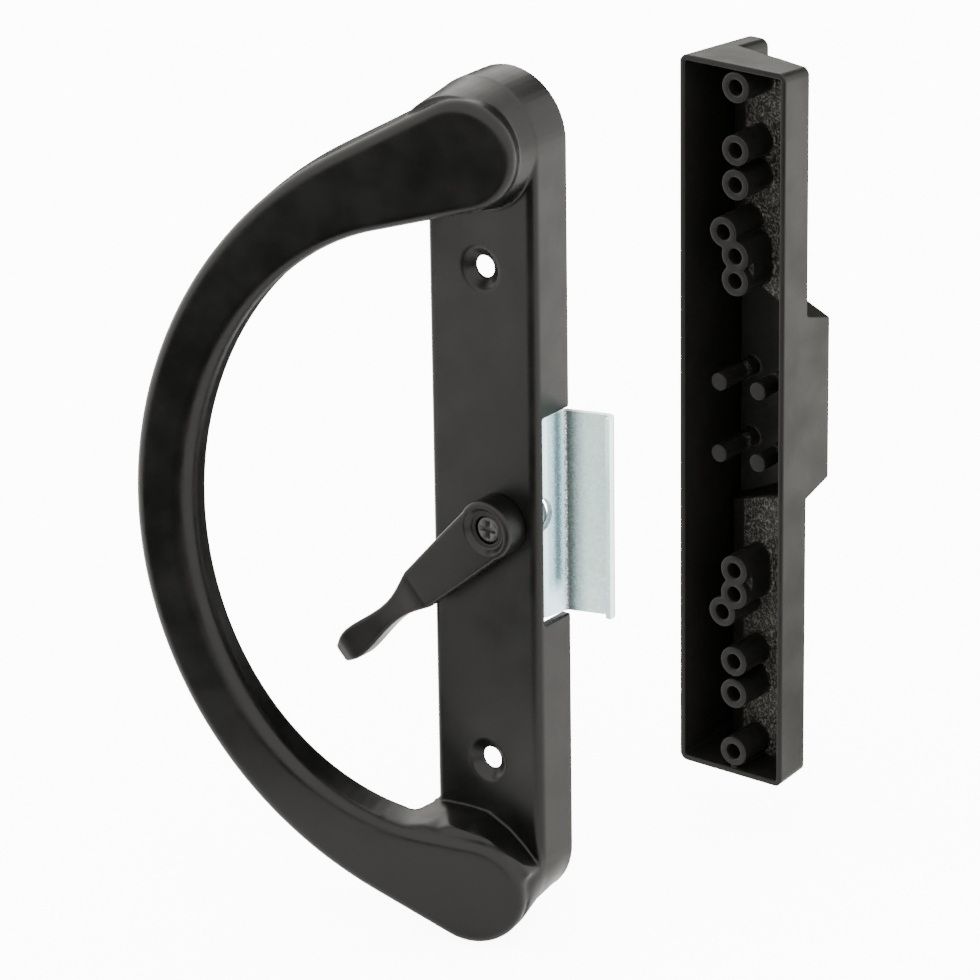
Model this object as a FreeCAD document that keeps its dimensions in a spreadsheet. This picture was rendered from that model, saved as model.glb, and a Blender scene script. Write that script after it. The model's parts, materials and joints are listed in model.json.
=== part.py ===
import FreeCAD, Part
import Sketcher
import math
import os

# Sliding door latch set: an inside handle with a thumb lever and a clamp
# latch, and the matching outside pull. Millimetres. The origin is midway
# between the two screw holes, on the back of the plate's web.
# +X runs along the door towards the jamb, +Y goes into the door, +Z is up.

DIMENSIONS = [
    ("plate_width", 31.6),
    ("plate_depth", 13.0),
    ("plate_wall", 2.4),
    ("plate_web", 2.6),
    ("plate_edge_round", 2.0),
    ("end_top_z", 93.2),
    ("end_bottom_z", 85.7),
    ("screw_spacing", 125.4),
    ("screw_hole_radius", 2.8),
    ("screw_sink_radius", 5.4),
    ("screw_sink_depth", 2.0),
    ("grip_reach", 78.8),
    ("grip_width", 14.7),
    ("grip_outer_u", 19.5),
    ("grip_inner_u", -4.1),
    ("grip_outer_space", 1.3),
    ("grip_inner_space", 0.8),
    ("grip_outer_sink", 0.2),
    ("grip_inner_sink", 1.2),
    ("grip_thickness", 13.0),
    ("grip_corner", 5.5),
    ("grip_slope", 18.5),
    ("grip_rise", 14.6),
    ("nose_u", 4.3),
    ("nose_z", 93.9),
    ("nose_bottom_z", 92.2),
    ("nose_radius", 13.5),
    ("nose_corner", 2.6),
    ("foot_inset", 0.05),
    ("foot_narrowing", 0.5),
    ("foot_lean", 2.6),
    ("foot_setback", 0.5),
    ("lever_x", 5.0),
    ("hub_radius", 7.4),
    ("hub_height", 6.7),
    ("hub_round", 0.8),
    ("hub_gap", 0.1),
    ("stub_radius", 4.0),
    ("stub_clearance", 0.05),
    ("stub_setback", 0.2),
    ("dish_radius", 5.9),
    ("dish_floor_radius", 4.7),
    ("dish_depth", 1.3),
    ("well_radius", 3.5),
    ("well_depth", 3.2),
    ("blade_angle", 43.8),
    ("blade_length", 29.0),
    ("blade_end_width", 10.4),
    ("blade_thickness", 3.8),
    ("neck_distance", 37.5),
    ("neck_width", 5.8),
    ("neck_thickness", 5.0),
    ("tab_distance", 58.5),
    ("tab_width", 6.6),
    ("tab_thickness", 6.4),
    ("lever_length", 62.0),
    ("screw_head_radius", 3.3),
    ("screw_head_height", 1.5),
    ("screw_shank_radius", 1.55),
    ("thread_clearance", 0.03),
    ("screw_length", 8.4),
    ("recess_width", 0.8),
    ("recess_depth", 0.9),
    ("key_radius", 3.2),
    ("key_flat", 4.6),
    ("key_length", 4.4),
    ("key_clearance", 0.05),
    ("cam_hub_radius", 3.9),
    ("cam_hub_gap", 0.9),
    ("cam_radius", 7.7),
    ("cam_thickness", 2.2),
    ("cam_gap", 0.3),
    ("crank_radius", 6.0),
    ("crank_pin_radius", 1.5),
    ("crank_clearance", 0.2),
    ("lever_swing", 80.0),
    ("spring_outer", 6.4),
    ("spring_inner", 3.35),
    ("spring_thickness", 0.4),
    ("latch_height", 50.8),
    ("latch_rise", 1.5),
    ("latch_thickness", 1.4),
    ("latch_bend", 1.0),
    ("latch_y", -8.0),
    ("latch_room", 1.8),
    ("latch_fold_x", 13.3),
    ("latch_knee_x", 14.6),
    ("latch_knee_y", -0.1),
    ("latch_tip_x", 26.6),
    ("latch_tip_y", 3.7),
    ("latch_lip", 3.4),
    ("latch_opening_radius", 4.2),
    ("side_opening_radius", 4.9),
    ("side_opening_y", -10.3),
    ("side_opening_rise", 1.1),
    ("guide_x", 1.5),
    ("guide_spacing", 34.0),
    ("guide_boss_radius", 4.0),
    ("guide_spigot_radius", 2.1),
    ("guide_slot_clearance", 0.2),
    ("guide_gap", 0.1),
    ("guide_screw_radius", 1.23),
    ("guide_screw_clearance", 0.03),
    ("guide_head_radius", 2.9),
    ("guide_head_height", 1.7),
    ("guide_washer_radius", 4.4),
    ("guide_washer_thickness", 0.8),
    ("notch_clearance", 0.9),
    ("pull_x", 0.3),
    ("pull_y", 66.5),
    ("pull_z", 1.3),
    ("pull_width", 30.9),
    ("pull_end_room", 6.0),
    ("pull_draft", 4.8),
    ("pull_depth", 28.4),
    ("pull_flange", 7.0),
    ("pull_root_depth", 16.6),
    ("pull_side_depth", 10.3),
    ("pull_wall", 1.5),
    ("pull_corner", 2.2),
    ("pull_edge_round", 1.2),
    ("block_depth", 20.0),
    ("block_rise", 5.2),
    ("block_side_foot", 24.8),
    ("block_side_top", 21.0),
    ("block_root_foot", 35.0),
    ("block_root_top", 32.0),
    ("boss_radius", 3.9),
    ("boss_hole_radius", 2.0),
    ("boss_hole_depth", 9.0),
    ("boss_x", 16.0),
    ("boss_offset_x", 12.5),
    ("boss_setback", 0.4),
    ("boss_link_setback", 3.0),
    ("boss_bottom", 13.4),
    ("spacing_a", 174.6),
    ("spacing_b", 142.9),
    ("spacing_c", 125.4),
    ("spacing_d", 100.0),
    ("spacing_e", 88.9),
    ("spacing_f", 76.2),
    ("post_radius", 2.3),
    ("post_setback", 3.8),
    ("post_left_x", 9.1),
    ("post_right_x", 20.6),
    ("post_spacing", 18.9),
]

doc = FreeCAD.newDocument("latch_set")
sheet = doc.addObject("Spreadsheet::Sheet", "Sizes")
for row, (alias, number) in enumerate(DIMENSIONS, start=1):
    sheet.set("A%d" % row, alias)
    sheet.set("B%d" % row, str(number))
    sheet.setAlias("B%d" % row, alias)
doc.recompute()

V = FreeCAD.Vector
X_AXIS = V(1, 0, 0)
Y_AXIS = V(0, 1, 0)
Z_AXIS = V(0, 0, 1)
TURN_TO_Y = FreeCAD.Rotation(X_AXIS, -90)
TURN_TO_X = FreeCAD.Rotation(Y_AXIS, 90)


def size(alias):
    return float(getattr(sheet, alias))


def bind(item, **formulas):
    for prop, formula in formulas.items():
        item.setExpression(prop.replace("__", "."), formula)


def place(item, rotation, x, y, z):
    item.Placement = FreeCAD.Placement(V(0, 0, 0), rotation)
    for axis, formula in (("x", x), ("y", y), ("z", z)):
        item.setExpression("Placement.Base." + axis, formula)


def rod(name, radius, length, x, y, z, rotation=TURN_TO_Y):
    """A cylinder that starts at x, y, z and runs along +Y unless turned."""
    item = doc.addObject("Part::Cylinder", name)
    bind(item, Radius=radius, Height=length)
    place(item, rotation, x, y, z)
    return item


def cone(name, radius1, radius2, length, x, y, z):
    item = doc.addObject("Part::Cone", name)
    bind(item, Radius1=radius1, Radius2=radius2, Height=length)
    place(item, TURN_TO_Y, x, y, z)
    return item


def box(name, dx, dy, dz, x, y, z):
    item = doc.addObject("Part::Box", name)
    bind(item, Length=dx, Width=dy, Height=dz)
    place(item, FreeCAD.Rotation(), x, y, z)
    return item


def fuse(name, items, refine=True):
    item = doc.addObject("Part::MultiFuse", name)
    item.Shapes = items
    item.Refine = refine
    return item


def cut(name, base, tools):
    tool = tools[0] if len(tools) == 1 else fuse(name + "_tools", tools)
    item = doc.addObject("Part::Cut", name)
    item.Base = base
    item.Tool = tool
    item.Refine = True
    return item


def common(name, first, second):
    item = doc.addObject("Part::MultiCommon", name)
    item.Shapes = [first, second]
    return item


def round_edges(name, base, radius, wanted):
    """Rounds the edges of base that wanted() picks."""
    doc.recompute()
    chosen = [
        number
        for number, edge in enumerate(base.Shape.Edges, start=1)
        if wanted(edge)
    ]
    if not chosen:
        raise RuntimeError("no edges to round in " + name)
    item = doc.addObject("Part::Fillet", name)
    item.Base = base
    item.Edges = [(number, size(radius), size(radius)) for number in chosen]
    return item


def draw(name, points, rotation, x="0", y="0", z="0"):
    """A closed outline of straight lines as a sketch."""
    sketch = doc.addObject("Sketcher::SketchObject", name)
    count = len(points)
    for i in range(count):
        start = V(points[i][0], points[i][1], 0)
        end = V(points[(i + 1) % count][0], points[(i + 1) % count][1], 0)
        sketch.addGeometry(Part.LineSegment(start, end), False)
    for i in range(count):
        sketch.addConstraint(Sketcher.Constraint("Coincident", i, 2, (i + 1) % count, 1))
    place(sketch, rotation, x, y, z)
    return sketch


def extrude(name, sketch, direction, length, centred=False):
    item = doc.addObject("Part::Extrusion", name)
    item.Base = sketch
    item.DirMode = "Custom"
    item.Dir = direction
    item.Solid = True
    item.Symmetric = centred
    bind(item, LengthFwd=length)
    return item


def slot(name, radius, length, x1, x2, y, z):
    """A round-ended bar along X, used to cut slots through sheet or web."""
    ends = [
        rod(name + "_end%d" % i, radius, length, x, y, z)
        for i, x in enumerate((x1, x2))
    ]
    middle = box(
        name + "_middle",
        "(%s) - (%s)" % (x2, x1),
        length,
        "2 * (%s)" % radius,
        x1,
        y,
        "(%s) - (%s)" % (z, radius),
    )
    return fuse(name, [middle] + ends)


def obround(name, half_width, low_z, high_z, y, length):
    """A tall round-ended block, centred on x = 0."""
    ends = [
        rod(name + "_end%d" % i, half_width, length, "0", y, z)
        for i, z in enumerate((high_z, low_z))
    ]
    middle = box(
        name + "_middle",
        "2 * (%s)" % half_width,
        length,
        "(%s) - (%s)" % (high_z, low_z),
        "-(%s)" % half_width,
        y,
        low_z,
    )
    return fuse(name, [middle] + ends)


# The inside handle: one hollow casting.

plate_block = obround(
    "plate_block",
    "Sizes.plate_width / 2",
    "-Sizes.end_bottom_z",
    "Sizes.end_top_z",
    "-Sizes.plate_depth",
    "Sizes.plate_depth",
)


def on_front_face(edge):
    front = -size("plate_depth")
    return all(abs(v.Point.y - front) < 1e-4 for v in edge.Vertexes)


plate_round = round_edges("plate_round", plate_block, "plate_edge_round", on_front_face)

# The grip and its two broad noses are one bar that leans out of the plate.
# Its outline is drawn on the leaning front face: u runs to the right and
# tilts into the door, v is up.
slope = math.radians(size("grip_slope"))
LEAN_X = V(math.cos(slope), math.sin(slope), 0)
LEAN_OUT = V(math.sin(slope), -math.cos(slope), 0)
LEAN_ORIGIN = V(0, -size("plate_depth") - size("grip_rise"), 0)


def on_grip(u, v, depth):
    """A point at u, v on the front face, or that deep behind it."""
    return LEAN_ORIGIN + LEAN_X * u + Z_AXIS * v - LEAN_OUT * depth


def grip_depth(point):
    return (LEAN_ORIGIN - point).dot(LEAN_OUT)


def common_tangent(centre_u, half_u, half_v, side, nose_v):
    """Where one straight line touches an ellipse and a nose circle above it.

    side is 1 for a line over the circle and -1 for a line under it.
    """
    radius = size("nose_radius")

    def gap(angle):
        reach = math.hypot(half_u * math.sin(angle), half_v * math.cos(angle))
        from_ellipse = reach - centre_u * math.sin(angle)
        return (
            from_ellipse
            + size("nose_u") * math.sin(angle)
            - nose_v * math.cos(angle)
            - side * radius
        )

    low = 0.0
    high = math.radians(75)
    for _ in range(60):
        middle = (low + high) / 2
        if gap(low) * gap(middle) <= 0:
            high = middle
        else:
            low = middle
    angle = (low + high) / 2
    reach = math.hypot(half_u * math.sin(angle), half_v * math.cos(angle))
    on_ellipse = V(
        centre_u - half_u ** 2 * math.sin(angle) / reach,
        half_v ** 2 * math.cos(angle) / reach,
        0,
    )
    on_circle = V(
        size("nose_u") - side * radius * math.sin(angle),
        nose_v + side * radius * math.cos(angle),
        0,
    )
    return on_ellipse, on_circle


def grip_curve(name, side, space):
    """One of the grip's ellipses, with its upper and lower tangents.

    space is how far the crown stays clear of the lines along the noses.
    """
    sink = size("grip_%s_sink" % name)
    noses = (size("nose_z") + sink, size("nose_bottom_z") - sink)
    half_v = min(noses) + side * size("nose_radius") - space
    centre_u = size("grip_%s_u" % name)
    half_u = reach_of[name] + centre_u
    centre = V(centre_u, -sink, 0)
    tangents = []
    for way, nose_v in zip((1, -1), noses):
        points = common_tangent(centre_u, half_u, half_v, side, nose_v)
        tangents.append([V(point.x, way * point.y - sink, 0) for point in points])
    return centre, half_u, half_v, tangents


reach_of = {"outer": size("grip_reach"), "inner": size("grip_reach") - size("grip_width")}
outer = grip_curve("outer", 1, size("grip_outer_space"))
inner = grip_curve("inner", -1, size("grip_inner_space"))

grip_outline = doc.addObject("Sketcher::SketchObject", "grip_outline")
grip_outline.Placement = FreeCAD.Placement(
    LEAN_ORIGIN, FreeCAD.Rotation(LEAN_X, Z_AXIS, LEAN_OUT, "XYZ")
)
for centre, half_u, half_v, tangents in (outer, inner):
    crown = centre + V(0, half_v, 0)
    reach = centre - V(half_u, 0, 0)
    tall = half_v > half_u
    long_end, short_end = (crown, reach) if tall else (reach, crown)
    ellipse = Part.Ellipse(long_end, short_end, centre)
    middle = ellipse.parameter(reach)
    for tip, _ in tangents:
        limit = ellipse.parameter(tip)
        if abs(limit - middle) > math.pi:
            limit -= math.copysign(2 * math.pi, limit - middle)
        low, high = sorted((limit, middle))
        grip_outline.addGeometry(Part.ArcOfEllipse(ellipse, low, high), False)
nose_heights = (size("nose_z"), -size("nose_bottom_z"))
for (a, b), (e, d), nose_v in zip(outer[3], inner[3], nose_heights):
    c = V(size("nose_u") + size("nose_radius"), nose_v, 0)
    grip_outline.addGeometry(Part.LineSegment(a, b), False)
    grip_outline.addGeometry(Part.Arc(b, c, d), False)
    grip_outline.addGeometry(Part.LineSegment(d, e), False)
grip_slab = extrude("grip_slab", grip_outline, -LEAN_OUT, "Sizes.grip_thickness")


def grip_edges(edges):
    """Rounding for the edges of the front and back: full at the middle of
    the bar and smaller on the noses."""
    rounding = []
    for number, edge in enumerate(edges, start=1):
        ends = [edge.valueAt(edge.FirstParameter), edge.valueAt(edge.LastParameter)]
        depths = [grip_depth(point) for point in ends]
        if abs(depths[0] - depths[1]) > 0.01:
            continue
        radii = [
            size("grip_corner") if abs(point.z) < size("nose_radius") else size("nose_corner")
            for point in ends
        ]
        rounding.append((number, radii[0], radii[1]))
    return rounding


doc.recompute()
grip = doc.addObject("Part::Fillet", "grip")
grip.Base = grip_slab
grip.Edges = grip_edges(grip_slab.Shape.Edges)

# Each nose stands on a foot that runs from the round end of the plate to
# the nose's outline, through two circles.
foot_low_y = "-Sizes.plate_depth + Sizes.plate_edge_round"
foot_high_y = "-Sizes.plate_depth - Sizes.grip_rise - Sizes.plate_width / 2 * tan(Sizes.grip_slope * 1 deg)"
feet_blocks = []
for i, (end_z, high_z) in enumerate(
    (("Sizes.end_top_z", "Sizes.nose_z"), ("-Sizes.end_bottom_z", "-Sizes.nose_bottom_z"))
):
    rings = []
    for label, radius, x, y, z in (
        ("low", "Sizes.plate_width / 2 - Sizes.foot_inset", "0", foot_low_y, end_z),
        (
            "high",
            "Sizes.nose_radius - Sizes.foot_narrowing",
            "Sizes.nose_u * cos(Sizes.grip_slope * 1 deg) - Sizes.foot_lean",
            foot_high_y,
            high_z,
        ),
    ):
        ring = doc.addObject("Part::Circle", "foot_ring%d_%s" % (i, label))
        bind(ring, Radius=radius)
        place(ring, TURN_TO_Y, x, y, z)
        rings.append(ring)
    foot_block = doc.addObject("Part::Loft", "foot_block%d" % i)
    foot_block.Sections = rings
    foot_block.Solid = True
    foot_block.Ruled = True
    feet_blocks.append(foot_block)
foot_trim = doc.addObject("Part::Box", "foot_trim")
bind(
    foot_trim,
    Length="4 * Sizes.plate_width",
    Width="2 * Sizes.plate_width",
    Height="3 * Sizes.nose_z",
)
foot_trim.Placement = FreeCAD.Placement(
    on_grip(-2 * size("plate_width"), -1.5 * size("nose_z"), size("nose_corner") + size("foot_setback"))
    + LEAN_OUT * 2 * size("plate_width"),
    FreeCAD.Rotation(Z_AXIS, size("grip_slope")),
)
feet = [cut("foot%d" % i, item, [foot_trim]) for i, item in enumerate(feet_blocks)]

plate_footed = fuse("plate_footed", [plate_round] + feet, refine=False)
casting_solid = fuse("casting_solid", [plate_footed, grip], refine=False)

cavity = obround(
    "cavity",
    "Sizes.plate_width / 2 - Sizes.plate_wall",
    "-Sizes.end_bottom_z",
    "Sizes.end_top_z",
    "-(Sizes.plate_depth - Sizes.plate_web)",
    "Sizes.plate_depth",
)
casting_hollow = cut("casting_hollow", casting_solid, [cavity])

casting_adds = []
casting_cuts = []
for i, sign in enumerate(("", "-")):
    z = sign + "Sizes.screw_spacing / 2"
    casting_cuts.append(
        rod("screw_hole%d" % i, "Sizes.screw_hole_radius", "Sizes.plate_depth + 2", "0",
            "-Sizes.plate_depth - 1", z)
    )
    casting_cuts.append(
        cone("screw_sink%d" % i, "Sizes.screw_sink_radius", "Sizes.screw_hole_radius",
             "Sizes.screw_sink_depth", "0", "-Sizes.plate_depth", z)
    )
    z = sign + "Sizes.guide_spacing / 2"
    casting_adds.append(
        rod(
            "guide_boss%d" % i,
            "Sizes.guide_boss_radius",
            "Sizes.latch_y - Sizes.latch_thickness / 2 - Sizes.guide_gap + Sizes.plate_depth"
            " - Sizes.plate_web / 2",
            "Sizes.guide_x",
            "-(Sizes.plate_depth - Sizes.plate_web / 2)",
            z,
        )
    )
    casting_adds.append(
        rod(
            "guide_spigot%d" % i,
            "Sizes.guide_spigot_radius",
            "Sizes.latch_y + Sizes.latch_thickness / 2 + Sizes.guide_gap + Sizes.plate_depth"
            " - Sizes.plate_web / 2",
            "Sizes.guide_x",
            "-(Sizes.plate_depth - Sizes.plate_web / 2)",
            z,
        )
    )
    casting_cuts.append(
        rod(
            "guide_thread%d" % i,
            "Sizes.guide_screw_radius + Sizes.guide_screw_clearance",
            "10",
            "Sizes.guide_x",
            "-(Sizes.plate_depth - Sizes.plate_web) - 0.6",
            z,
        )
    )
casting_bossed = fuse("casting_bossed", [casting_hollow] + casting_adds)
casting_cuts.append(
    rod("lever_bore", "Sizes.stub_radius + Sizes.stub_clearance", "6", "Sizes.lever_x",
        "-Sizes.plate_depth - 1", "0")
)
casting_cuts.append(
    box(
        "notch",
        "10",
        "Sizes.plate_depth",
        "Sizes.latch_height + 2 * Sizes.notch_clearance",
        "Sizes.plate_width / 2 - Sizes.plate_wall - 0.2",
        "-(Sizes.plate_depth - Sizes.plate_web)",
        "Sizes.latch_rise - Sizes.latch_height / 2 - Sizes.notch_clearance",
    )
)
handle_casting = cut("handle_casting", casting_bossed, casting_cuts)

# The thumb lever: hub, blade and thumb tab cast as one.

HUB_FRONT = "-Sizes.plate_depth - Sizes.hub_height"
hub_block = rod(
    "hub_block",
    "Sizes.hub_radius",
    "Sizes.hub_height - Sizes.hub_gap",
    "Sizes.lever_x",
    HUB_FRONT,
    "0",
)


def hub_front_edge(edge):
    front = -size("plate_depth") - size("hub_height")
    return edge.Closed and all(abs(v.Point.y - front) < 1e-4 for v in edge.Vertexes)


hub = round_edges("hub", hub_block, "hub_round", hub_front_edge)
stub = rod(
    "stub",
    "Sizes.stub_radius",
    "Sizes.plate_web + 1 - Sizes.stub_setback",
    "Sizes.lever_x",
    "-Sizes.plate_depth - 1",
    "0",
)


def blade_frame(distance, y):
    """A frame whose X is across the blade and whose Y faces the room."""
    a = math.radians(size("blade_angle"))
    out = V(-math.cos(a), 0, -math.sin(a))
    across = V(-math.sin(a), 0, math.cos(a))
    front = V(0, -1, 0)
    origin = V(size("lever_x"), y, 0) + out * distance
    return FreeCAD.Placement(origin, FreeCAD.Rotation(across, front, out, "XYZ"))


front_y = -size("plate_depth") - size("hub_height")
blade_stations = [
    (0.0, 2 * size("hub_radius") - 0.4, size("blade_thickness"), front_y + size("blade_thickness") / 2),
    (size("blade_length") * 0.5, (2 * size("hub_radius") + size("blade_end_width")) / 2,
     size("blade_thickness"), front_y + size("blade_thickness") / 2),
    (size("blade_length"), size("blade_end_width"), size("blade_thickness"),
     front_y + size("blade_thickness") / 2),
]
tab_stations = [
    blade_stations[-1],
    ((size("blade_length") + size("neck_distance")) / 2,
     (size("blade_end_width") + size("neck_width")) / 2 - 0.4,
     (size("blade_thickness") + size("neck_thickness")) / 2,
     front_y + size("blade_thickness") / 2 + 0.25),
    (size("neck_distance"), size("neck_width"), size("neck_thickness"),
     front_y + size("neck_thickness") / 2 + 0.2),
    ((size("neck_distance") + size("tab_distance")) / 2,
     (size("neck_width") + size("tab_width")) / 2,
     (size("neck_thickness") + size("tab_thickness")) / 2,
     front_y + size("neck_thickness") / 2 + 0.1),
    (size("tab_distance"), size("tab_width"), size("tab_thickness"),
     front_y + size("neck_thickness") / 2),
]


def rounded_rectangle(name, width, height, radius, placement):
    """A section with rounded corners as a sketch, centred on its own origin."""
    a = width / 2
    b = height / 2
    r = radius
    sketch = doc.addObject("Sketcher::SketchObject", name)
    corners = [(a - r, b - r, 0), (r - a, b - r, 90), (r - a, r - b, 180), (a - r, r - b, 270)]
    ends = []
    for cx, cy, first in corners:
        circle = Part.Circle(V(cx, cy, 0), Z_AXIS, r)
        low = math.radians(first)
        high = math.radians(first + 90)
        sketch.addGeometry(Part.ArcOfCircle(circle, low, high), False)
        ends.append((V(cx + r * math.cos(low), cy + r * math.sin(low), 0),
                     V(cx + r * math.cos(high), cy + r * math.sin(high), 0)))
    for i in range(4):
        sketch.addGeometry(Part.LineSegment(ends[i][1], ends[(i + 1) % 4][0]), False)
    sketch.Placement = placement
    return sketch


def blade_loft(name, stations, ruled):
    sections = []
    for i, (distance, width, thickness, y) in enumerate(stations):
        sections.append(
            rounded_rectangle(
                "%s_section%d" % (name, i), width, thickness, 0.9,
                blade_frame(distance, y),
            )
        )
    item = doc.addObject("Part::Loft", name)
    item.Sections = sections
    item.Solid = True
    item.Ruled = ruled
    return item


blade = blade_loft("blade", blade_stations, True)
tab = blade_loft("tab", tab_stations, False)
tab_end_sections = [
    (size("tab_distance"), size("tab_width"), size("tab_thickness"),
     front_y + size("neck_thickness") / 2),
    (size("lever_length") - 0.9, size("tab_width") - 1.6, size("tab_thickness") - 1.4,
     front_y + size("neck_thickness") / 2),
    (size("lever_length"), size("tab_width") - 3.6, size("tab_thickness") - 3.4,
     front_y + size("neck_thickness") / 2),
]
tab_end = blade_loft("tab_end", tab_end_sections, True)
lever_solid = fuse("lever_solid", [hub, stub, blade, tab, tab_end])
dish = cone(
    "dish",
    "Sizes.dish_radius",
    "Sizes.dish_floor_radius",
    "Sizes.dish_depth",
    "Sizes.lever_x",
    HUB_FRONT,
    "0",
)
well = rod("well", "Sizes.well_radius", "Sizes.well_depth", "Sizes.lever_x", HUB_FRONT, "0")
lever_hole = rod(
    "lever_hole",
    "Sizes.screw_shank_radius + 0.2",
    "20",
    "Sizes.lever_x",
    HUB_FRONT,
    "0",
)


def double_flat(name, clearance, y, length):
    """A round bar with two flats, the shape of the key and of its socket."""
    bar = rod(name + "_bar", "Sizes.key_radius + " + clearance, length, "Sizes.lever_x", y, "0")
    slab = box(
        name + "_slab",
        "20",
        length,
        "Sizes.key_flat + 2 * " + clearance,
        "Sizes.lever_x - 10",
        y,
        "-Sizes.key_flat / 2 - " + clearance,
    )
    return common(name, bar, slab)


KEY_FRONT = "-Sizes.plate_depth + Sizes.plate_web + Sizes.cam_hub_gap - Sizes.key_length"
socket = double_flat("socket", "Sizes.key_clearance", KEY_FRONT + " - 0.2", "12")
thumb_lever = cut("thumb_lever", lever_solid, [dish, well, lever_hole, socket])

# The screw that holds the lever to the cam.

WELL_FLOOR = HUB_FRONT + " + Sizes.well_depth"
head_blank = rod(
    "head_blank",
    "Sizes.screw_head_radius",
    "Sizes.screw_head_height",
    "Sizes.lever_x",
    WELL_FLOOR + " - Sizes.screw_head_height",
    "0",
)


def head_front_edge(edge):
    front = -size("plate_depth") - size("hub_height") + size("well_depth") - size("screw_head_height")
    return edge.Closed and all(abs(v.Point.y - front) < 1e-4 for v in edge.Vertexes)


head_round = doc.addObject("Part::Chamfer", "head_round")
doc.recompute()
head_round.Base = head_blank
head_round.Edges = [
    (number, 0.4, 0.4)
    for number, edge in enumerate(head_blank.Shape.Edges, start=1)
    if head_front_edge(edge)
]
shank = rod(
    "shank",
    "Sizes.screw_shank_radius",
    "Sizes.screw_length",
    "Sizes.lever_x",
    WELL_FLOOR + " - 0.2",
    "0",
)
screw_blank = fuse("screw_blank", [head_round, shank])
recess_bars = []
for i, (dx, dz) in enumerate((("3.6", "Sizes.recess_width"), ("Sizes.recess_width", "3.6"))):
    recess_bars.append(
        box(
            "recess_bar%d" % i,
            dx,
            "Sizes.recess_depth + 1",
            dz,
            "Sizes.lever_x - (%s) / 2" % dx,
            WELL_FLOOR + " - Sizes.screw_head_height - 1",
            "-(%s) / 2" % dz,
        )
    )
lever_screw = cut("lever_screw", screw_blank, recess_bars)

# The cam behind the latch plate.

CAM_FRONT = "Sizes.latch_y + Sizes.latch_thickness / 2 + Sizes.cam_gap"
CAM_HUB_FRONT = "-Sizes.plate_depth + Sizes.plate_web + Sizes.cam_hub_gap"
cam_disc = rod(
    "cam_disc", "Sizes.cam_radius", "Sizes.cam_thickness", "Sizes.lever_x", CAM_FRONT, "0"
)
cam_hub = rod(
    "cam_hub",
    "Sizes.cam_hub_radius",
    "(%s) - (%s) + 1" % (CAM_FRONT, CAM_HUB_FRONT),
    "Sizes.lever_x",
    CAM_HUB_FRONT,
    "0",
)
key = double_flat("key", "0", KEY_FRONT, "Sizes.key_length + 1")
CRANK_ANGLE = "Sizes.lever_swing / 2"
crank_pin = rod(
    "crank_pin",
    "Sizes.crank_pin_radius",
    "(%s) - (%s) + 0.9" % (CAM_FRONT, CAM_HUB_FRONT),
    "Sizes.lever_x - Sizes.crank_radius * sin(%s * 1 deg)" % CRANK_ANGLE,
    "(%s) + 0.1" % CAM_HUB_FRONT,
    "Sizes.crank_radius * cos(%s * 1 deg)" % CRANK_ANGLE,
)
cam_solid = fuse("cam_solid", [cam_disc, cam_hub, key, crank_pin])
cam_thread = rod(
    "cam_thread",
    "Sizes.screw_shank_radius + Sizes.thread_clearance",
    "20",
    "Sizes.lever_x",
    KEY_FRONT + " - 1",
    "0",
)
lever_cam = cut("lever_cam", cam_solid, [cam_thread])

# The coned spring washer between the plate and the cam.

WEB_BACK = "-Sizes.plate_depth + Sizes.plate_web"
spring_profile = draw(
    "spring_profile",
    [
        (size("spring_inner"), size("cam_hub_gap") - size("spring_thickness")),
        (size("spring_outer"), 0.0),
        (size("spring_outer"), size("spring_thickness")),
        (size("spring_inner"), size("cam_hub_gap")),
    ],
    FreeCAD.Rotation(),
    "Sizes.lever_x",
    WEB_BACK,
    "0",
)
spring_washer = doc.addObject("Part::Revolution", "spring_washer")
spring_washer.Source = spring_profile
spring_washer.Axis = Y_AXIS
spring_washer.Base = V(size("lever_x"), 0, 0)
spring_washer.Angle = 360
spring_washer.Solid = True

# The latch plate: one strip of sheet, bent four ways.


def strip(points, thickness, inner):
    """Outline of a bent strip of even thickness along its middle line."""
    half = thickness / 2
    left = []
    right = []
    count = len(points)
    for i, (px, py) in enumerate(points):
        p = V(px, py, 0)
        if i == 0 or i == count - 1:
            q = V(*points[1 if i == 0 else count - 2], 0)
            d = (q - p if i == 0 else p - q).normalize()
            n = V(-d.y, d.x, 0)
            left.append(("point", p + n * half))
            right.append(("point", p - n * half))
            continue
        a = V(*points[i - 1], 0)
        b = V(*points[i + 1], 0)
        d1 = (p - a).normalize()
        d2 = (b - p).normalize()
        n1 = V(-d1.y, d1.x, 0)
        n2 = V(-d2.y, d2.x, 0)
        side = 1.0 if d1.x * d2.y - d1.y * d2.x > 0 else -1.0
        turn = math.acos(max(-1.0, min(1.0, d1.dot(d2))))
        reach = (inner + half) * math.tan(turn / 2)
        centre = p - d1 * reach + n1 * side * (inner + half)
        for store, sign in ((left, 1.0), (right, -1.0)):
            radius = inner if sign == side else inner + thickness
            start = centre - n1 * side * radius
            end = centre - n2 * side * radius
            middle = centre - (n1 + n2).normalize() * side * radius
            store.append(("arc", start, middle, end))
    edges = []
    ordered = left + list(reversed(right))
    last = None
    for k, item in enumerate(ordered):
        back = k >= len(left)
        if item[0] == "point":
            marks = [item[1]]
        else:
            marks = [item[1], item[2], item[3]]
            if back:
                marks.reverse()
        if last is not None:
            edges.append(Part.LineSegment(last, marks[0]))
        if len(marks) == 3:
            edges.append(Part.Arc(marks[0], marks[1], marks[2]))
        last = marks[-1]
    edges.append(Part.LineSegment(last, left[0][1]))
    return edges


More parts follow.
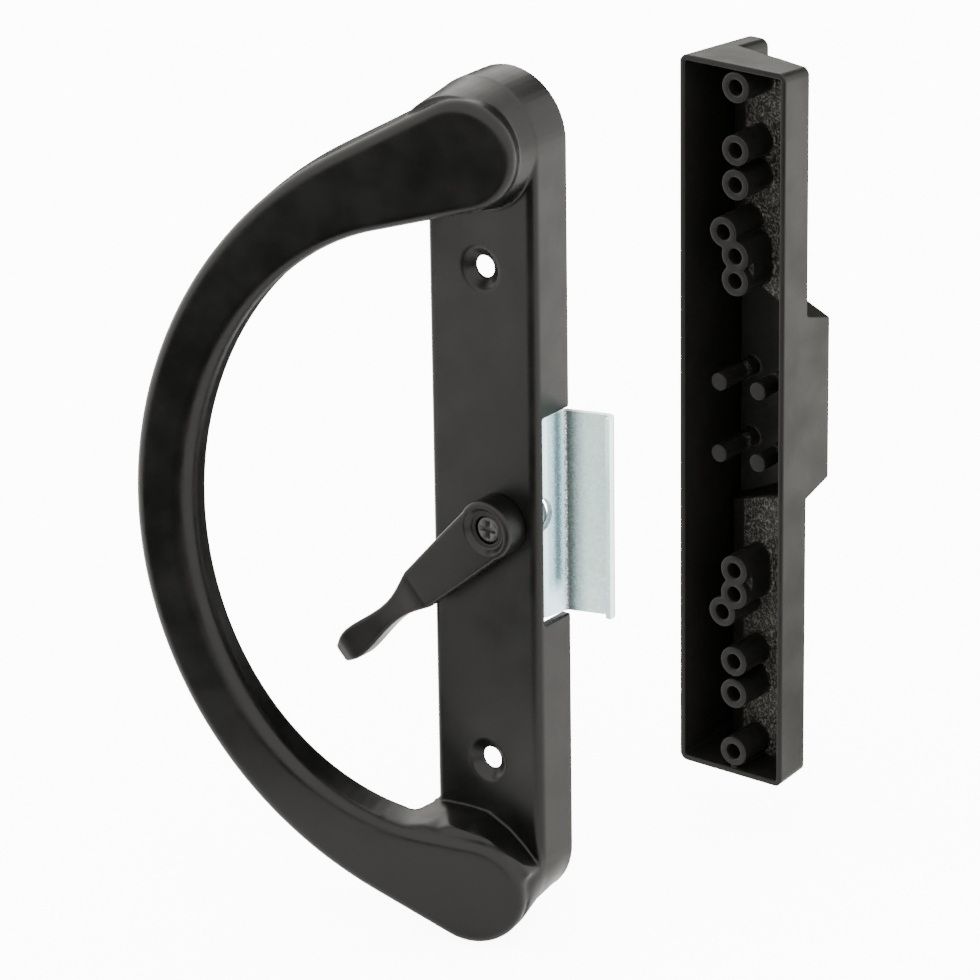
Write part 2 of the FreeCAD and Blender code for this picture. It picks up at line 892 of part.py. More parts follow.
latch_points = [
    (size("latch_room") + size("plate_wall") - size("plate_width") / 2, size("latch_y")),
    (size("latch_fold_x"), size("latch_y")),
    (size("latch_knee_x"), size("latch_knee_y")),
    (size("latch_tip_x"), size("latch_tip_y")),
    (size("latch_tip_x") - 0.1, size("latch_tip_y") - size("latch_lip")),
]
latch_profile = doc.addObject("Sketcher::SketchObject", "latch_profile")
for geometry in strip(latch_points, size("latch_thickness"), size("latch_bend")):
    latch_profile.addGeometry(geometry, False)
latch_profile.setExpression("Placement.Base.z", "Sizes.latch_rise")
latch_strip = extrude("latch_strip", latch_profile, Z_AXIS, "Sizes.latch_height", centred=True)
LATCH_FRONT = "Sizes.latch_y - 3"
TRAVEL = "2 * Sizes.crank_radius * sin(%s * 1 deg)" % CRANK_ANGLE
latch_cuts = [
    slot(
        "shaft_opening",
        "Sizes.latch_opening_radius",
        "6",
        "Sizes.lever_x - " + TRAVEL,
        "Sizes.lever_x",
        LATCH_FRONT,
        "0",
    ),
    rod(
        "side_opening",
        "Sizes.side_opening_radius",
        "12",
        "Sizes.latch_fold_x - 6",
        "Sizes.side_opening_y",
        "Sizes.latch_rise + Sizes.side_opening_rise",
        TURN_TO_X,
    ),
]
CRANK_X = "Sizes.lever_x - Sizes.crank_radius * sin(%s * 1 deg)" % CRANK_ANGLE
CRANK_SLOT = "Sizes.crank_pin_radius + Sizes.crank_clearance"
latch_cuts.append(
    rod("crank_slot_end", CRANK_SLOT, "6", CRANK_X, LATCH_FRONT, "Sizes.crank_radius + 0.2")
)
latch_cuts.append(
    box(
        "crank_slot_side",
        "2 * (%s)" % CRANK_SLOT,
        "6",
        "Sizes.crank_radius + 0.2",
        "%s - (%s)" % (CRANK_X, CRANK_SLOT),
        LATCH_FRONT,
        "0",
    )
)
for i, sign in enumerate(("", "-")):
    latch_cuts.append(
        slot(
            "guide_slot%d" % i,
            "Sizes.guide_spigot_radius + Sizes.guide_slot_clearance",
            "6",
            "Sizes.guide_x - " + TRAVEL,
            "Sizes.guide_x",
            LATCH_FRONT,
            sign + "Sizes.guide_spacing / 2",
        )
    )
latch_plate = cut("latch_plate", latch_strip, latch_cuts)

# Two screws and two washers keep the latch plate on its bosses.

SPIGOT_END = "Sizes.latch_y + Sizes.latch_thickness / 2 + Sizes.guide_gap"
washers = []
screws = []
for i, sign in enumerate(("", "-")):
    z = sign + "Sizes.guide_spacing / 2"
    washer_disc = rod(
        "washer_disc%d" % i,
        "Sizes.guide_washer_radius",
        "Sizes.guide_washer_thickness",
        "Sizes.guide_x",
        SPIGOT_END,
        z,
    )
    washer_hole = rod(
        "washer_hole%d" % i,
        "Sizes.guide_screw_radius + 0.2",
        "4",
        "Sizes.guide_x",
        SPIGOT_END + " - 1",
        z,
    )
    washers.append(cut("washer%d" % i, washer_disc, [washer_hole]))
    head = rod(
        "guide_head%d" % i,
        "Sizes.guide_head_radius",
        "Sizes.guide_head_height",
        "Sizes.guide_x",
        SPIGOT_END + " + Sizes.guide_washer_thickness",
        z,
    )
    stem = rod(
        "guide_stem%d" % i,
        "Sizes.guide_screw_radius",
        "Sizes.guide_washer_thickness + (%s) - (%s) + 0.4" % (SPIGOT_END, WEB_BACK),
        "Sizes.guide_x",
        "(%s) - 0.2" % WEB_BACK,
        z,
    )
    blank = fuse("guide_blank%d" % i, [head, stem])
    bars = []
    for j, (dx, dz) in enumerate((("3.2", "0.8"), ("0.8", "3.2"))):
        bars.append(
            box(
                "guide_recess%d%d" % (i, j),
                dx,
                "3",
                dz,
                "Sizes.guide_x - (%s) / 2" % dx,
                "(%s) + Sizes.guide_washer_thickness + Sizes.guide_head_height - 0.9" % SPIGOT_END,
                "(%s) - (%s) / 2" % (z, dz),
            )
        )
    screws.append(cut("guide_screw%d" % i, blank, bars))
latch_guide_washers = doc.addObject("Part::Compound", "latch_guide_washers")
latch_guide_washers.Links = washers
latch_guide_screws = doc.addObject("Part::Compound", "latch_guide_screws")
latch_guide_screws.Links = screws

# The outside pull: a hollow casting with screw bosses.

PX = "Sizes.pull_x"
PY = "Sizes.pull_y"
PZ = "Sizes.pull_z"
width = size("pull_width")
depth = size("pull_depth")
flange = size("pull_flange")
root = size("pull_root_depth")
side = size("pull_side_depth")
wall = size("pull_wall")
back_slope = (root - side) / (width - flange)
pull_profile = draw(
    "pull_profile",
    [(0, 0), (width, 0), (width, side), (flange, root), (flange, depth), (0, depth)],
    FreeCAD.Rotation(),
    PX,
    PY,
    PZ,
)
# The upper and lower pairs of bosses stand a set way inside the ends.
PULL_HEIGHT = "Sizes.spacing_a + 2 * Sizes.pull_end_room"
half_pull = size("spacing_a") / 2 + size("pull_end_room")
pull_bar = extrude("pull_bar", pull_profile, Z_AXIS, PULL_HEIGHT, centred=True)
draft = math.radians(size("pull_draft"))


def drafted(name, bar, inset):
    """Cuts both ends of a bar back so that they lean in away from the rim."""
    wedges = []
    for i, sign in enumerate((1, -1)):
        wedge = doc.addObject("Part::Box", "%s_wedge%d" % (name, i))
        wedge.Length = 2 * width
        wedge.Width = 2 * depth
        wedge.Height = width
        end = V(size("pull_x"), size("pull_y"), size("pull_z") + sign * (half_pull - inset))
        turn = FreeCAD.Rotation(X_AXIS, -sign * size("pull_draft"))
        corner = V(-width / 2, -depth / 2, 0 if sign > 0 else -width)
        wedge.Placement = FreeCAD.Placement(end + turn.multVec(corner), turn)
        wedges.append(wedge)
    return cut(name, bar, wedges)


pull_drafted = drafted("pull_drafted", pull_bar, 0.0)
inset = wall * math.hypot(1, back_slope)
inner_root = root + wall * back_slope - inset
inner_side = side + wall * back_slope - inset
hollow_profile = draw(
    "hollow_profile",
    [
        (wall, -2),
        (width - wall, -2),
        (width - wall, inner_side),
        (flange - wall, inner_root),
        (flange - wall, depth - wall),
        (wall, depth - wall),
    ],
    FreeCAD.Rotation(),
    PX,
    PY,
    PZ,
)
hollow_bar = extrude("hollow_bar", hollow_profile, Z_AXIS, PULL_HEIGHT + " + 4", centred=True)
pull_hollow = drafted("pull_hollow", hollow_bar, wall)


def block_section(name, x, foot, top, foot_depth, top_depth):
    """Outline of the raised block in a plane across the pull."""
    return draw(
        name,
        [(foot_depth, -foot), (foot_depth, foot), (top_depth, top), (top_depth, -top)],
        FreeCAD.Rotation(Y_AXIS, Z_AXIS, X_AXIS, "XYZ"),
        "%s + %s" % (PX, x),
        PY,
        PZ + " + Sizes.block_rise",
    )


def block(name, inset_x, inset_z, inset_y, root_x):
    side_x = width - inset_x
    share = (side_x - flange) / (width - flange)
    foot = size("block_root_foot") + (size("block_side_foot") - size("block_root_foot")) * share
    top = size("block_root_top") + (size("block_side_top") - size("block_root_top")) * share
    sections = [
        block_section(name + "_side", side_x, foot - inset_z, top - inset_z, side - 3,
                      size("block_depth") - inset_y),
        block_section(name + "_root", root_x, size("block_root_foot") - inset_z,
                      size("block_root_top") - inset_z, side - 3, size("block_depth") - inset_y),
    ]
    item = doc.addObject("Part::Loft", name)
    item.Sections = sections
    item.Solid = True
    item.Ruled = True
    return item


pull_block = block("pull_block", 0.0, 0.0, 0.0, flange - 1)
block_hollow = block("block_hollow", wall, wall, wall, flange - wall)
pull_outside = fuse("pull_outside", [pull_drafted, pull_block])


def corner_edges(edge):
    """The four edges of the rim's corners, which run into the door."""
    ends = [vertex.Point for vertex in edge.Vertexes]
    if abs(ends[0].x - ends[-1].x) > 1e-4 or abs(ends[0].y - ends[-1].y) < 1:
        return False
    return all(
        abs(
            abs(point.z - size("pull_z"))
            - half_pull
            + (point.y - size("pull_y")) * math.tan(draft)
        )
        < 1e-3
        for point in ends
    )


pull_cornered = round_edges("pull_cornered", pull_outside, "pull_corner", corner_edges)


def rear_edges(edge):
    """The long edges down the back, and the block's outline."""
    points = [v.Point for v in edge.Vertexes]
    deep = all(p.y > size("pull_y") + size("pull_side_depth") - 0.5 for p in points)
    length = edge.Length
    flat = all(p.y > size("pull_y") + size("pull_depth") - 0.01 for p in points)
    return deep and flat and length > 1


pull_rounded = round_edges("pull_rounded", pull_cornered, "pull_edge_round", rear_edges)
pull_shell = cut("pull_shell", pull_rounded, [pull_hollow, block_hollow])

pull_adds = []
pull_cuts = []
BOSS_TOP = PY + " + Sizes.boss_setback"
BOSS_LENGTH = "Sizes.boss_bottom - Sizes.boss_setback"
for letter in "abcdef":
    x = PX + (" + Sizes.boss_offset_x" if letter == "d" else " + Sizes.boss_x")
    for i, sign in enumerate(("+", "-")):
        z = "%s %s Sizes.spacing_%s / 2" % (PZ, sign, letter)
        pull_adds.append(
            rod("boss_%s%d" % (letter, i), "Sizes.boss_radius", BOSS_LENGTH, x, BOSS_TOP, z)
        )
        pull_cuts.append(
            rod("boss_hole_%s%d" % (letter, i), "Sizes.boss_hole_radius",
                "Sizes.boss_hole_depth + 1", x, BOSS_TOP + " - 1", z)
        )
for i, sign in enumerate(("+", "-")):
    pull_adds.append(
        box(
            "boss_link%d" % i,
            "2 * Sizes.boss_radius",
            "Sizes.boss_bottom - Sizes.boss_link_setback",
            "abs(Sizes.spacing_e - Sizes.spacing_f) / 2 + 0.02",
            PX + " + Sizes.boss_x - Sizes.boss_radius",
            PY + " + Sizes.boss_link_setback",
            "%s %s (Sizes.spacing_e + Sizes.spacing_f) / 4 - abs(Sizes.spacing_e - Sizes.spacing_f) / 4"
            " - 0.01" % (PZ, sign),
        )
    )
for i, x in enumerate(("Sizes.post_left_x", "Sizes.post_right_x")):
    for j, sign in enumerate(("+", "-")):
        pull_adds.append(
            rod(
                "post%d%d" % (i, j),
                "Sizes.post_radius",
                "Sizes.block_depth - Sizes.pull_wall / 2 - Sizes.post_setback",
                "%s + %s" % (PX, x),
                PY + " + Sizes.post_setback",
                "%s %s Sizes.post_spacing / 2" % (PZ, sign),
            )
        )
pull_bossed = fuse("pull_bossed", [pull_shell] + pull_adds)
pull_casting = cut("pull_casting", pull_bossed, pull_cuts)

NODES = [
    ("handle_casting", handle_casting),
    ("thumb_lever", thumb_lever),
    ("lever_screw", lever_screw),
    ("lever_cam", lever_cam),
    ("spring_washer", spring_washer),
    ("latch_plate", latch_plate),
    ("latch_guide_washers", latch_guide_washers),
    ("latch_guide_screws", latch_guide_screws),
    ("pull_casting", pull_casting),
]
# The frame's origin is midway between the screw holes on the back of the
# plate's web, so every piece is placed that far towards the door.
for label, item in NODES:
    item.Label = label
    item.setExpression("Placement.Base.y", "Sizes.plate_depth - Sizes.plate_web")
doc.recompute()

for item in doc.Objects:
    if "Invalid" in item.State or "Error" in item.State:
        raise RuntimeError("failed object: " + item.Name)
for label, item in NODES:
    if item.Shape.isNull() or not item.Shape.isValid():
        raise RuntimeError("bad shape: " + label)

os.makedirs("parts", exist_ok=True)
for label, item in NODES:
    item.Shape.exportStep(os.path.join("parts", label + ".step"))
    bounds = item.Shape.BoundBox
    print(
        "%-22s solids %d volume %9.1f  x %7.2f %7.2f  y %7.2f %7.2f  z %7.2f %7.2f"
        % (label, len(item.Shape.Solids), item.Shape.Volume, bounds.XMin, bounds.XMax,
           bounds.YMin, bounds.YMax, bounds.ZMin, bounds.ZMax)
    )
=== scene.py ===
import json
import math

import bmesh
import bpy
import numpy as np
from mathutils import Matrix, Vector


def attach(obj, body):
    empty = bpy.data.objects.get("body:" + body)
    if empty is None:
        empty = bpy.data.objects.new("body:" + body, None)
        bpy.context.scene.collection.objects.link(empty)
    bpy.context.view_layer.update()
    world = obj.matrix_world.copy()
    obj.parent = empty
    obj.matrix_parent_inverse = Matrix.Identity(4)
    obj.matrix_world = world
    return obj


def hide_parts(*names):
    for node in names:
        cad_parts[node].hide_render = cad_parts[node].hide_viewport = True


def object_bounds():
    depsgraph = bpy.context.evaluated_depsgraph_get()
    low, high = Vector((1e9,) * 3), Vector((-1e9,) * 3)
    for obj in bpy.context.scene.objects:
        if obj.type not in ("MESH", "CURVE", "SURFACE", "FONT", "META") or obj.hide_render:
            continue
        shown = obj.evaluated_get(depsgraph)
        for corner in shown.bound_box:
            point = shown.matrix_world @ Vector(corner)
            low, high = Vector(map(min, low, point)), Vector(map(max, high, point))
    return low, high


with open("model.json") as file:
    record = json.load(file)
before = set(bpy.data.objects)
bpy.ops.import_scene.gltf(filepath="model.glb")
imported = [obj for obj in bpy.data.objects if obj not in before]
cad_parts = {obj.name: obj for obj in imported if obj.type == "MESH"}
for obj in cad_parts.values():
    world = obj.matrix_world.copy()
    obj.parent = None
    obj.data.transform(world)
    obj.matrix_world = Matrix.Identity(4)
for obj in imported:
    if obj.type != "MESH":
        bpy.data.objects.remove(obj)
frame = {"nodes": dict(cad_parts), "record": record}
NODES = frame["nodes"]
CAD_LOW, CAD_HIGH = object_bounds()
SLOT_OF = {row["node"]: row["material_slot"] for row in frame["record"]["subparts"]}


def place(name, data):
    """A new object in the scene, at the origin."""
    obj = bpy.data.objects.new(name, data)
    bpy.context.scene.collection.objects.link(obj)
    return obj


# Effects that the finishes share. Lengths are in metres, as in the Object coordinates.

def new_group(name, inputs, outputs):
    """An empty shader group with number sockets, and its two end nodes."""
    group = bpy.data.node_groups.new(name, "ShaderNodeTree")
    for label, value in inputs:
        item = group.interface.new_socket(label, in_out="INPUT", socket_type="NodeSocketFloat")
        item.default_value = value
    for label in outputs:
        group.interface.new_socket(label, in_out="OUTPUT", socket_type="NodeSocketFloat")
    start = group.nodes.new("NodeGroupInput")
    end = group.nodes.new("NodeGroupOutput")
    return group, start.outputs, end.inputs


def feed(tree, socket, term):
    """Give a socket a link from another one, or a value."""
    if isinstance(term, bpy.types.NodeSocket):
        tree.links.new(term, socket)
    else:
        socket.default_value = term


def object_place(tree):
    return tree.nodes.new("ShaderNodeTexCoord").outputs["Object"]


def axes_of(tree):
    """The Object coordinates as X, Y and Z."""
    axes = tree.nodes.new("ShaderNodeSeparateXYZ")
    tree.links.new(object_place(tree), axes.inputs["Vector"])
    return axes.outputs["X"], axes.outputs["Y"], axes.outputs["Z"]


def noise_of(tree, scale, detail=2.0):
    noise = tree.nodes.new("ShaderNodeTexNoise")
    tree.links.new(object_place(tree), noise.inputs["Vector"])
    feed(tree, noise.inputs["Scale"], scale)
    noise.inputs["Detail"].default_value = detail
    return noise.outputs["Fac"]


def math_of(tree, operation, *terms):
    node = tree.nodes.new("ShaderNodeMath")
    node.operation = operation
    for socket, term in zip(node.inputs, terms):
        feed(tree, socket, term)
    return node.outputs["Value"]


def spread_of(tree, value, **ends):
    """Map Range, with its ends named as from_min, from_max, to_min and to_max."""
    node = tree.nodes.new("ShaderNodeMapRange")
    feed(tree, node.inputs["Value"], value)
    for label, term in ends.items():
        feed(tree, node.inputs[label.replace("_", " ").title()], term)
    return node.outputs["Result"]


def mix_of(tree, factor, first, second, blend="MIX"):
    """A mix of two colours."""
    node = tree.nodes.new("ShaderNodeMix")
    node.data_type = "RGBA"
    node.blend_type = blend
    for label, term in (("Factor", factor), ("A", first), ("B", second)):
        feed(tree, node.inputs[label], term)
    return node.outputs["Result"]


def ramp_of(tree, place_along, stops):
    """A colour ramp from pairs of a place and a colour."""
    node = tree.nodes.new("ShaderNodeValToRGB")
    elements = node.color_ramp.elements
    while len(elements) < len(stops):
        elements.new(0.5)
    for element, (stop, color) in zip(elements, stops):
        element.position = stop
        element.color = (*color, 1.0)
    tree.links.new(place_along, node.inputs["Fac"])
    return node.outputs["Color"]


def cast_grain_group():
    """Fine cast grain: two sizes of noise as a height."""
    group, start, end = new_group(
        "cast_grain", [("Coarse", 500.0), ("Fine", 1800.0), ("Mix", 0.5)], ["Height"])
    mix = group.nodes.new("ShaderNodeMix")
    for label, term in (("Factor", start["Mix"]), ("A", noise_of(group, start["Coarse"])),
                        ("B", noise_of(group, start["Fine"]))):
        feed(group, mix.inputs[label], term)
    group.links.new(mix.outputs["Result"], end["Height"])
    return group


def mottle_group():
    """Soft cloudy patches that shift from one value to another."""
    group, start, end = new_group("mottle", [("Scale", 90.0), ("Low", 0.3), ("High", 0.5)], ["Value"])
    patches = spread_of(group, noise_of(group, start["Scale"], detail=3.0), from_min=0.35,
                        from_max=0.65, to_min=start["Low"], to_max=start["High"])
    group.links.new(patches, end["Value"])
    return group


def strip_group():
    """Where a point lies along the bent latch strip, 0 at the plate's wall to 1, with a sandy
    edge, and how far it is above the strip's foot. These place the zinc plate's painted reflection bands."""
    group, start, end = new_group(
        "strip_place", [("From", 0.016), ("To", 0.041), ("Sand", 0.0042), ("Grain", 4800.0)],
        ["Place", "Foot"])
    x, y, z = axes_of(group)
    centred = math_of(group, "SUBTRACT", noise_of(group, start["Grain"], detail=1.0), 0.5)
    sand = math_of(group, "MULTIPLY", centred, start["Sand"])
    along = math_of(group, "ADD", math_of(group, "ADD", x, y), sand)
    group.links.new(spread_of(group, along, from_min=start["From"], from_max=start["To"]), end["Place"])
    group.links.new(spread_of(group, z, from_min=-0.0185, from_max=-0.0145), end["Foot"])
    return group


def sandy_floor_group():
    """Bright grains of bare sandy casting on the pull's sloping floor, inside its walls."""
    group, start, end = new_group(
        "sandy_floor", [("Slope", 0.2636), ("Near", 0.0929), ("Far", 0.0947), ("Left", 0.0098),
                        ("Right", 0.0303), ("End", 0.090), ("Grain", 1700.0)], ["Grains"])
    x, y, z = axes_of(group)
    grains = spread_of(group, noise_of(group, start["Grain"]), from_min=0.45, from_max=0.70)
    depth = math_of(group, "ADD", y, math_of(group, "MULTIPLY", x, start["Slope"]))
    shown = grains
    for test in (math_of(group, "GREATER_THAN", depth, start["Near"]),
                 math_of(group, "LESS_THAN", depth, start["Far"]),
                 math_of(group, "GREATER_THAN", x, start["Left"]),
                 math_of(group, "LESS_THAN", x, start["Right"]),
                 math_of(group, "LESS_THAN", math_of(group, "ABSOLUTE", z), start["End"])):
        shown = math_of(group, "MULTIPLY", shown, test)
    group.links.new(shown, end["Grains"])
    return group


CAST_GRAIN = cast_grain_group()
MOTTLE = mottle_group()
STRIP = strip_group()
SANDY_FLOOR = sandy_floor_group()


# Finishes.

PAINT = (0.0011, 0.0011, 0.0010)
PULL_PAINT = (0.0045, 0.0044, 0.0040, 1.0)
BARE_GRAINS = (0.090, 0.086, 0.080, 1.0)
ZINC = (0.64, 0.88, 0.97)
WHITE = (1.0, 1.0, 1.0)
BUMP_DEPTH = 0.0001


def new_material(name):
    mat = bpy.data.materials.new(name)
    mat.use_nodes = True
    return mat, mat.node_tree, mat.node_tree.nodes["Principled BSDF"].inputs


def add_group(tree, group, **values):
    node = tree.nodes.new("ShaderNodeGroup")
    node.node_tree = group
    for name, value in values.items():
        node.inputs[name].default_value = value
    return node.outputs


def finish(name, color, roughness, metallic=0.0, specular=0.5, spread=0.06, patch=90.0,
           grain=0.0, coarse=500.0, fine=1800.0):
    """A Principled material with mottled roughness and, where grain is given, a fine bump."""
    mat, tree, shader = new_material(name)
    shader["Base Color"].default_value = (*color, 1.0)
    shader["Metallic"].default_value = metallic
    shader["Specular IOR Level"].default_value = specular
    patches = add_group(tree, MOTTLE, Scale=patch, Low=roughness - spread, High=roughness + spread)
    tree.links.new(patches["Value"], shader["Roughness"])
    if grain > 0:
        bump = tree.nodes.new("ShaderNodeBump")
        bump.inputs["Strength"].default_value = grain
        bump.inputs["Distance"].default_value = BUMP_DEPTH
        height = add_group(tree, CAST_GRAIN, Coarse=coarse, Fine=fine)["Height"]
        tree.links.new(height, bump.inputs["Height"])
        tree.links.new(bump.outputs["Normal"], shader["Normal"])
    return mat


def recolour(mat, color):
    mat.node_tree.links.new(color, mat.node_tree.nodes["Principled BSDF"].inputs["Base Color"])
    return mat


def painted_reflection_zinc():
    """Blue-white zinc plate whose colour along the strip holds painted reflections: a dark painted
    reflection band before the fold, a thin painted highlight at the fold, and a dark painted reflection
    band after it that fades through grey back to blue-white.
    """
    mat = finish("zinc plate", ZINC, 0.27, metallic=0.55, spread=0.05, patch=900.0,
                 grain=0.30, coarse=1500.0, fine=3200.0)
    tree = mat.node_tree
    strip = add_group(tree, STRIP)
    # Painted reflections along the strip: a thin painted highlight at the fold, then a dark painted
    # reflection band that fades through grey back to blue-white.
    sheet = ramp_of(tree, strip["Place"], [
        (0.0, ZINC), (0.30, (0.66, 0.84, 0.92)), (0.328, (0.90, 0.96, 0.98)),
        (0.345, (0.04, 0.05, 0.055)), (0.37, (0.05, 0.07, 0.07)), (0.43, (0.11, 0.15, 0.15)),
        (0.52, (0.40, 0.53, 0.53)), (0.60, (0.62, 0.83, 0.80)), (1.0, (0.70, 0.92, 0.92))])
    # A dark painted reflection band before the fold, kept above the strip's foot.
    painted_reflection_band = ramp_of(tree, strip["Place"], [
        (0.07, WHITE), (0.15, (0.66, 0.74, 0.76)), (0.20, (0.14, 0.17, 0.18)),
        (0.25, (0.14, 0.17, 0.18)), (0.29, (0.55, 0.62, 0.66)), (0.32, WHITE)])
    painted_reflection_above_foot = mix_of(tree, strip["Foot"], (*WHITE, 1.0), painted_reflection_band)
    return recolour(mat, mix_of(tree, 1.0, sheet, painted_reflection_above_foot, blend="MULTIPLY"))


def pull_paint():
    """The pull's thinner paint, with sandy grains on the shallow floor."""
    mat = finish("pull paint", PAINT, 0.38, specular=0.15, grain=0.30, coarse=420.0)
    grains = add_group(mat.node_tree, SANDY_FLOOR)["Grains"]
    return recolour(mat, mix_of(mat.node_tree, grains, PULL_PAINT, BARE_GRAINS))


LOOKS = {
    "black_casting": finish("casting paint", PAINT, 0.34, specular=0.20, grain=0.12),
    "lever_black": finish("lever paint", PAINT, 0.34, specular=0.20, grain=0.12),
    "pull_black": pull_paint(),
    "screw_black": finish("screw coat", (0.03, 0.03, 0.03), 0.30, metallic=0.6),
    "cam_zinc": finish("die cast zinc", (0.36, 0.37, 0.38), 0.42, metallic=1.0, grain=0.2),
    "spring_steel": finish("spring steel", (0.40, 0.39, 0.37), 0.30, metallic=1.0),
    "zinc_sheet": painted_reflection_zinc(),
    "washer_zinc": finish("washer plate", (0.58, 0.64, 0.67), 0.28, metallic=1.0),
    "screw_zinc": finish("screw plate", (0.58, 0.64, 0.67), 0.26, metallic=1.0),
}
for node, obj in NODES.items():
    obj.data.materials.clear()
    obj.data.materials.append(LOOKS[SLOT_OF[node]])


# The lower foot and the screw holes, with lengths in millimetres.

PLATE_FRONT = -2.6
SCREW_HOLES = (62.7, -62.7)
COUNTERSINK_LIP = 2.62
# Into the plate, square to the leaning grip.
INTO_PLATE = (-0.317, 0.948)
# The flat top's edge as (x, z) on the plate and as (x, y, z) on the back of the nose.
TOP_AT_PLATE = ((-16.2, -77.2), (-11.6, -77.0), (-5.6, -76.5), (0.3, -76.5), (6.7, -79.5),
                (10.4, -82.2), (14.0, -85.5), (15.6, -86.8))
TOP_AT_NOSE = ((-17.1, -23.1, -74.4), (-12.0, -21.4, -75.4), (-8.7, -20.3, -76.1),
               (-3.6, -18.6, -76.9), (6.5, -15.2, -78.4), (11.5, -13.5, -81.7),
               (15.8, -12.1, -84.6), (17.4, -11.4, -86.0))


def nose_drop(x):
    """How far the web's top ends below the nose's edge: more towards the left."""
    return 0.5 + 0.3 * max(0.0, -9.0 - x)


def mm(points):
    return [Vector(point) / 1000 for point in points]


def mesh_of_rows(name, rings, pairs, caps):
    """A mesh of rings of points, with faces between the given pairs and on the given rings."""
    count = len(rings[0])
    build = bmesh.new()
    rows = [[build.verts.new(point) for point in ring] for ring in rings]
    for first, second in pairs:
        for i in range(count):
            j = (i + 1) % count
            build.faces.new((rows[first][i], rows[first][j], rows[second][j], rows[second][i]))
    for cap in caps:
        build.faces.new(rows[cap])
    bmesh.ops.recalc_face_normals(build, faces=build.faces)
    mesh = bpy.data.meshes.new(name)
    build.to_mesh(mesh)
    build.free()
    return mesh


def solid(name, rings):
    """A closed solid through rings of the same number of points, capped at both ends."""
    last = len(rings) - 1
    return mesh_of_rows(name, rings, [(i, i + 1) for i in range(last)], (0, last))


def foot_web():
    """The lower foot carried out to the plate's left edge, rooted inside plate and nose."""
    into_plate, into_nose, below = 1.0, 2.6, 0.05
    plate_y = PLATE_FRONT + into_plate
    plate_edge = [(x, plate_y, z - below) for x, z in TOP_AT_PLATE]
    nose_edge = [(x + INTO_PLATE[0] * into_nose, y + INTO_PLATE[1] * into_nose, z - below)
                 for x, y, z in TOP_AT_NOSE]
    nose_edge = [(x, y, z - nose_drop(x)) for x, y, z in nose_edge]
    underside = ((12.0, -7.5, -93.0), (0.0, -11.5, -96.0), (-11.0, -15.5, -94.0))
    low_ring = plate_edge + [(x, plate_y, z) for x, y, z in underside] + [(-15.2, plate_y, -86.0)]
    high_ring = nose_edge + [*underside, (-18.0, -18.0, -86.0)]
    return solid("foot_web", [mm(low_ring), mm(high_ring)])


def foot_flank():
    """The lower foot's right flank, straight from the plate's rim to the nose."""
    # Outer arc: centre and radius. Inner arc: centre's x and z, and radius. Then the tilt.
    stations = (((0.0, 9.0, -85.7), 15.72, (0.0, -85.7), 14.6, 0.0),
                ((0.97, -0.1, -88.05), 14.77, (0.0, -85.7), 14.6, 0.0),
                ((1.0, -0.3, -88.1), 14.75, (1.0, -88.1), 9.0, 0.0),
                ((3.0, -11.9, -92.2), 13.1, (3.0, -92.2), 8.0, 0.334))
    steps, from_angle, sweep = 24, -100, 108
    angles = [math.radians(from_angle + sweep * step / steps) for step in range(steps + 1)]
    rings = []
    for (x, y, z), outer, (inner_x, inner_z), inner, tilt in stations:
        ring = [(x + outer * math.cos(a), y + tilt * outer * math.cos(a), z + outer * math.sin(a))
                for a in angles]
        ring += [(inner_x + inner * math.cos(a), y + tilt * inner * math.cos(a),
                  inner_z + inner * math.sin(a)) for a in reversed(angles)]
        rings.append(mm(ring))
    return solid("foot_flank", rings)


def screw_hole_lip(hole_z):
    """The narrow lip at the back of a screw hole's countersink."""
    root_radius, front_y, back_y = 3.5, -0.85, -0.02
    turns = [math.radians(15 * step) for step in range(24)]
    rings = [mm([(radius * math.cos(a), y, hole_z + radius * math.sin(a)) for a in turns])
             for y in (front_y, back_y) for radius in (root_radius, COUNTERSINK_LIP)]
    return mesh_of_rows("screw_hole_lip", rings, ((0, 1), (1, 3), (3, 2), (2, 0)), ())


def coordinates(mesh):
    points = np.empty(len(mesh.vertices) * 3)
    mesh.vertices.foreach_get("co", points)
    return points.reshape(-1, 3)


def set_coordinates(mesh, points):
    mesh.vertices.foreach_set("co", points.ravel())
    mesh.update()


def even_out(mesh, points, chosen, passes):
    """Blend the chosen vertices with their neighbours, as the foundry blends a valley."""
    ends = np.empty(len(mesh.edges) * 2, dtype=np.int64)
    mesh.edges.foreach_get("vertices", ends)
    ends = ends.reshape(-1, 2)
    ends = ends[chosen[ends[:, 0]] | chosen[ends[:, 1]]]
    here = np.concatenate((ends[:, 0], ends[:, 1]))
    there = np.concatenate((ends[:, 1], ends[:, 0]))
    spots, slot = np.unique(here, return_inverse=True)
    count = np.bincount(slot)
    moved = chosen[spots]
    for _ in range(passes):
        for axis in range(3):
            mean = np.bincount(slot, weights=points[there, axis]) / count
            old = points[spots, axis]
            points[spots, axis] = np.where(moved, (old + mean) / 2, old)


